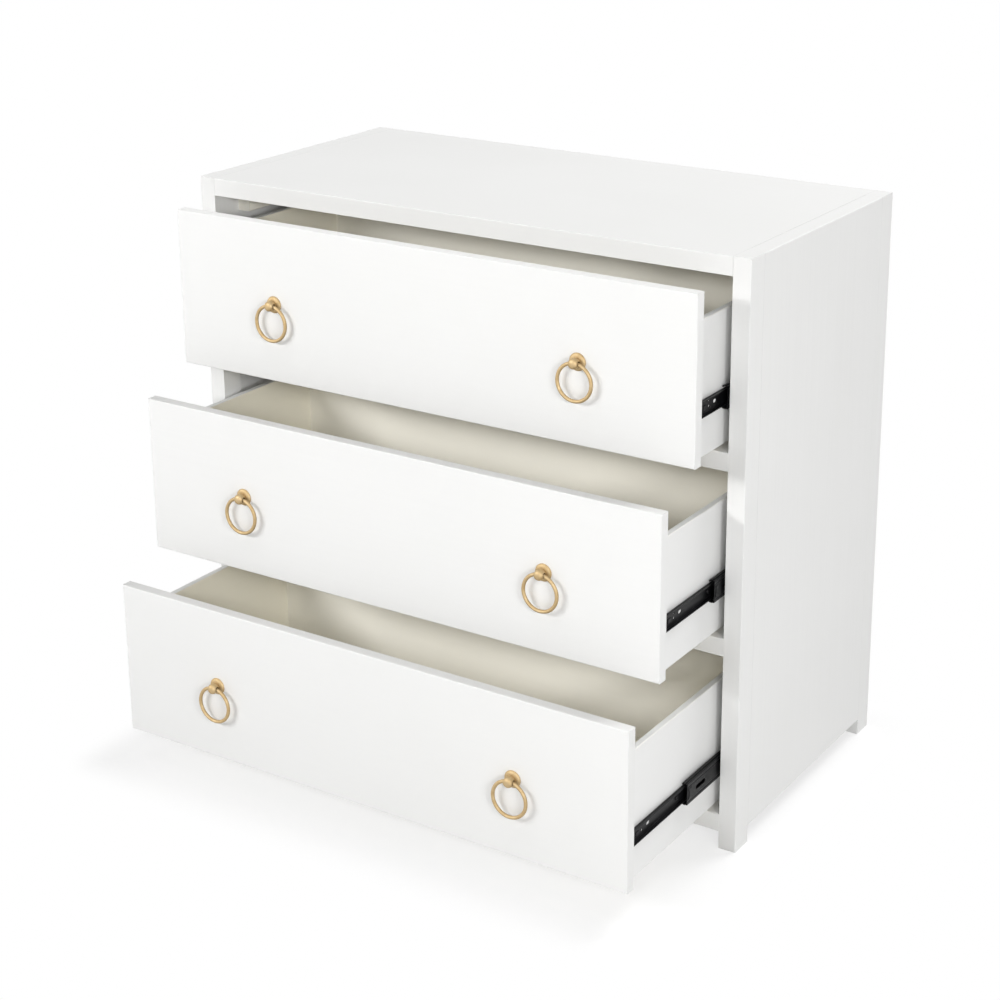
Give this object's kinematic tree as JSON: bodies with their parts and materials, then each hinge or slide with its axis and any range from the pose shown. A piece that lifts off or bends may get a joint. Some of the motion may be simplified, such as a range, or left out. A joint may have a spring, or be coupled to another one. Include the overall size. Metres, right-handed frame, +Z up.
{
  "type": "campaign chest of drawers",
  "caption": "White post-and-panel campaign chest with inset drawers on full-extension ball bearing slides, each opened by brass ring pulls that swing from ball posts.",
  "frame": {"origin": "middle of the footprint of the chest with its drawers as far out as at rest, on the floor", "axes": "+X to the right seen from the front, +Y to the back, +Z up"},
  "size_m": [0.864, 0.6676, 0.8],
  "materials": {
    "white_lacquer": "smooth white satin lacquer",
    "drawer_wood": "sealed pale wood, matte",
    "slide_steel": "black e-coated steel, semi-gloss",
    "cage_steel": "zinc plated sheet",
    "pull_brass": "satin brass"
  },
  "bodies": {
    "case": {"post_front_right": "white_lacquer", "post_front_left": "white_lacquer", "post_rear_right": "white_lacquer", "post_rear_left": "white_lacquer", "side_panel_right": "white_lacquer", "side_panel_left": "white_lacquer", "side_rail_right": "white_lacquer", "side_rail_left": "white_lacquer", "slide_battens_right": "drawer_wood", "slide_battens_left": "drawer_wood", "top_panel": "white_lacquer", "back_panel": "drawer_wood", "rear_rail": "drawer_wood", "bottom_rail": "white_lacquer", "divider_rail_lower": "white_lacquer", "divider_rail_upper": "white_lacquer", "top_cleats": "drawer_wood", "slide_cabinet_bottom": "slide_steel", "slide_cabinet_middle": "slide_steel", "slide_cabinet_top": "slide_steel"},
    "drawer_top": {"drawer_subfront_top": "drawer_wood", "drawer_back_top": "drawer_wood", "drawer_side_right_top": "drawer_wood", "drawer_side_left_top": "drawer_wood", "drawer_bottom_top": "drawer_wood", "drawer_front_top": "white_lacquer", "pull_posts_top": "pull_brass", "slide_drawer_top": "slide_steel"},
    "slide_middle_top": {"slide_middle_top": "slide_steel"},
    "cage_outer_top": {"cage_outer_top": "cage_steel"},
    "cage_inner_top": {"cage_inner_top": "cage_steel"},
    "pull_ring_left_top": {"pull_ring_left_top": "pull_brass"},
    "pull_ring_right_top": {"pull_ring_right_top": "pull_brass"},
    "drawer_middle": {"drawer_subfront_middle": "drawer_wood", "drawer_back_middle": "drawer_wood", "drawer_side_right_middle": "drawer_wood", "drawer_side_left_middle": "drawer_wood", "drawer_bottom_middle": "drawer_wood", "drawer_front_middle": "white_lacquer", "pull_posts_middle": "pull_brass", "slide_drawer_middle": "slide_steel"},
    "slide_middle_middle": {"slide_middle_middle": "slide_steel"},
    "cage_outer_middle": {"cage_outer_middle": "cage_steel"},
    "cage_inner_middle": {"cage_inner_middle": "cage_steel"},
    "pull_ring_left_middle": {"pull_ring_left_middle": "pull_brass"},
    "pull_ring_right_middle": {"pull_ring_right_middle": "pull_brass"},
    "drawer_bottom": {"drawer_subfront_bottom": "drawer_wood", "drawer_back_bottom": "drawer_wood", "drawer_side_right_bottom": "drawer_wood", "drawer_side_left_bottom": "drawer_wood", "drawer_bottom_bottom": "drawer_wood", "drawer_front_bottom": "white_lacquer", "pull_posts_bottom": "pull_brass", "slide_drawer_bottom": "slide_steel"},
    "slide_middle_bottom": {"slide_middle_bottom": "slide_steel"},
    "cage_outer_bottom": {"cage_outer_bottom": "cage_steel"},
    "cage_inner_bottom": {"cage_inner_bottom": "cage_steel"},
    "pull_ring_left_bottom": {"pull_ring_left_bottom": "pull_brass"},
    "pull_ring_right_bottom": {"pull_ring_right_bottom": "pull_brass"}
  },
  "joints": [
    {"name": "drawer_top_slide", "type": "slide", "parent": "case", "child": "drawer_top", "axis": [0, -1, 0], "range_m": [-0.081, 0.209]},
    {"name": "slide_middle_top_travel", "type": "slide", "parent": "case", "child": "slide_middle_top", "axis": [0, -1, 0], "range_m": [-0.02026, 0.05226]},
    {"name": "cage_outer_top_travel", "type": "slide", "parent": "case", "child": "cage_outer_top", "axis": [0, -1, 0], "range_m": [-0.01013, 0.02613]},
    {"name": "cage_inner_top_travel", "type": "slide", "parent": "case", "child": "cage_inner_top", "axis": [0, -1, 0], "range_m": [-0.05063, 0.13064]},
    {"name": "pull_ring_left_top_swing", "type": "hinge", "parent": "drawer_top", "child": "pull_ring_left_top", "pos_m": [-0.239, -0.17567, 0.66133], "axis": [-1, 0, 0], "range_deg": [-6, 165]},
    {"name": "pull_ring_right_top_swing", "type": "hinge", "parent": "drawer_top", "child": "pull_ring_right_top", "pos_m": [0.239, -0.17567, 0.66133], "axis": [-1, 0, 0], "range_deg": [-6, 165]},
    {"name": "drawer_middle_slide", "type": "slide", "parent": "case", "child": "drawer_middle", "axis": [0, -1, 0], "range_m": [-0.16, 0.13]},
    {"name": "slide_middle_middle_travel", "type": "slide", "parent": "case", "child": "slide_middle_middle", "axis": [0, -1, 0], "range_m": [-0.04401, 0.03576]},
    {"name": "cage_outer_middle_travel", "type": "slide", "parent": "case", "child": "cage_outer_middle", "axis": [0, -1, 0], "range_m": [-0.02201, 0.01789]},
    {"name": "cage_inner_middle_travel", "type": "slide", "parent": "case", "child": "cage_inner_middle", "axis": [0, -1, 0], "range_m": [-0.10201, 0.08289]},
    {"name": "pull_ring_left_middle_swing", "type": "hinge", "parent": "drawer_middle", "child": "pull_ring_left_middle", "pos_m": [-0.239, -0.25467, 0.411], "axis": [-1, 0, 0], "range_deg": [-6, 165]},
    {"name": "pull_ring_right_middle_swing", "type": "hinge", "parent": "drawer_middle", "child": "pull_ring_right_middle", "pos_m": [0.239, -0.25467, 0.411], "axis": [-1, 0, 0], "range_deg": [-6, 165]},
    {"name": "drawer_bottom_slide", "type": "slide", "parent": "case", "child": "drawer_bottom", "axis": [0, -1, 0], "range_m": [-0.232, 0.058]},
    {"name": "slide_middle_bottom_travel", "type": "slide", "parent": "case", "child": "slide_middle_bottom", "axis": [0, -1, 0], "range_m": [-0.10441, 0.02611]},
    {"name": "cage_outer_bottom_travel", "type": "slide", "parent": "case", "child": "cage_outer_bottom", "axis": [0, -1, 0], "range_m": [-0.05221, 0.01306]},
    {"name": "cage_inner_bottom_travel", "type": "slide", "parent": "case", "child": "cage_inner_bottom", "axis": [0, -1, 0], "range_m": [-0.16821, 0.04206]},
    {"name": "pull_ring_left_bottom_swing", "type": "hinge", "parent": "drawer_bottom", "child": "pull_ring_left_bottom", "pos_m": [-0.239, -0.32667, 0.16067], "axis": [-1, 0, 0], "range_deg": [-6, 165]},
    {"name": "pull_ring_right_bottom_swing", "type": "hinge", "parent": "drawer_bottom", "child": "pull_ring_right_bottom", "pos_m": [0.239, -0.32667, 0.16067], "axis": [-1, 0, 0], "range_deg": [-6, 165]}
  ],
  "couplings": [
    {"joint": "slide_middle_top_travel", "follows": "drawer_top_slide", "ratio": 0.25},
    {"joint": "cage_outer_top_travel", "follows": "drawer_top_slide", "ratio": 0.125},
    {"joint": "cage_inner_top_travel", "follows": "drawer_top_slide", "ratio": 0.625},
    {"joint": "slide_middle_middle_travel", "follows": "drawer_middle_slide", "ratio": 0.275},
    {"joint": "cage_outer_middle_travel", "follows": "drawer_middle_slide", "ratio": 0.1375},
    {"joint": "cage_inner_middle_travel", "follows": "drawer_middle_slide", "ratio": 0.6375},
    {"joint": "slide_middle_bottom_travel", "follows": "drawer_bottom_slide", "ratio": 0.45},
    {"joint": "cage_outer_bottom_travel", "follows": "drawer_bottom_slide", "ratio": 0.225},
    {"joint": "cage_inner_bottom_travel", "follows": "drawer_bottom_slide", "ratio": 0.725}
  ]
}
